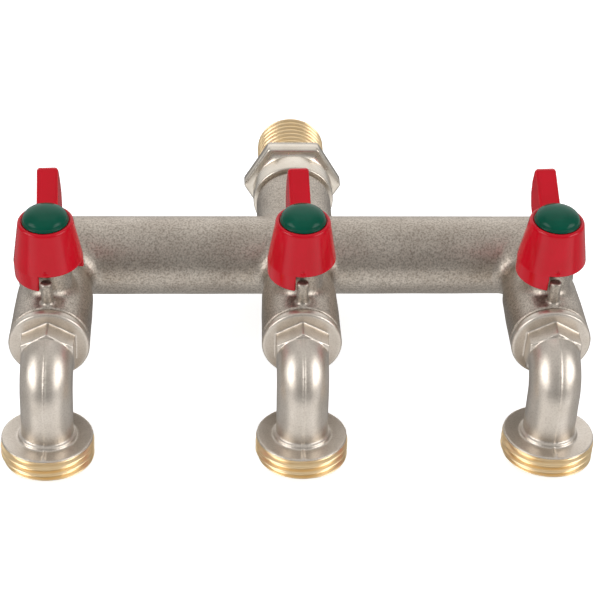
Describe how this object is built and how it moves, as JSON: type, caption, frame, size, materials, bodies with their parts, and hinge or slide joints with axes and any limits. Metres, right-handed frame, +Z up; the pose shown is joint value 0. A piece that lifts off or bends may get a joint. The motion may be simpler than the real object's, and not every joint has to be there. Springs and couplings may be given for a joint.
{
  "type": "hose splitter",
  "caption": "Brass hose splitter: horizontal header with a threaded inlet behind and a row of ball-valve taps, each with a lever handle and a downward threaded outlet elbow.",
  "frame": {"origin": "centre of the inlet thread's mouth", "axes": "+X along the header, +Y out of the inlet along its axis, +Z up along the valve stems, outlets facing down and 7 degrees forward"},
  "size_m": [0.1734, 0.1339, 0.0688],
  "materials": {
    "nickel": "satin nickel plating over sand-cast and forged brass",
    "thread_brass": "bare machined brass",
    "red_enamel": "glossy red enamel over die-cast zinc",
    "green_plastic": "glossy moulded plastic",
    "chrome": "polished, chromed brass ball",
    "ptfe": "white PTFE",
    "rubber": "black nitrile rubber",
    "steel": "zinc-plated steel"
  },
  "bodies": {
    "root": {"manifold_body": "nickel", "left_end_plug": "nickel", "right_end_plug": "nickel", "inlet_nipple": "nickel", "inlet_sealing_washer": "rubber", "left_outlet_elbow": "nickel", "left_elbow_seal_ring": "rubber", "left_rear_ball_seat": "ptfe", "left_front_ball_seat": "ptfe", "middle_outlet_elbow": "nickel", "middle_elbow_seal_ring": "rubber", "middle_rear_ball_seat": "ptfe", "middle_front_ball_seat": "ptfe", "right_outlet_elbow": "nickel", "right_elbow_seal_ring": "rubber", "right_rear_ball_seat": "ptfe", "right_front_ball_seat": "ptfe"},
    "left_handle_assembly": {"left_ball": "chrome", "left_valve_stem": "thread_brass", "left_stem_washer": "ptfe", "left_stem_lower_ring": "rubber", "left_stem_upper_ring": "rubber", "left_handle": "red_enamel", "left_handle_screw": "steel", "left_handle_cap": "green_plastic"},
    "middle_handle_assembly": {"middle_ball": "chrome", "middle_valve_stem": "thread_brass", "middle_stem_washer": "ptfe", "middle_stem_lower_ring": "rubber", "middle_stem_upper_ring": "rubber", "middle_handle": "red_enamel", "middle_handle_screw": "steel", "middle_handle_cap": "green_plastic"},
    "right_handle_assembly": {"right_ball": "chrome", "right_valve_stem": "thread_brass", "right_stem_washer": "ptfe", "right_stem_lower_ring": "rubber", "right_stem_upper_ring": "rubber", "right_handle": "red_enamel", "right_handle_screw": "steel", "right_handle_cap": "green_plastic"}
  },
  "joints": [
    {"name": "left_handle_turn", "type": "hinge", "parent": "root", "child": "left_handle_assembly", "pos_m": [-0.073, -0.0905, 0], "axis": [0, 0, 1], "range_deg": [-90, 0]},
    {"name": "middle_handle_turn", "type": "hinge", "parent": "root", "child": "middle_handle_assembly", "pos_m": [0, -0.0905, 0], "axis": [0, 0, 1], "range_deg": [-90, 0]},
    {"name": "right_handle_turn", "type": "hinge", "parent": "root", "child": "right_handle_assembly", "pos_m": [0.073, -0.0905, 0], "axis": [0, 0, 1], "range_deg": [-90, 0]}
  ]
}
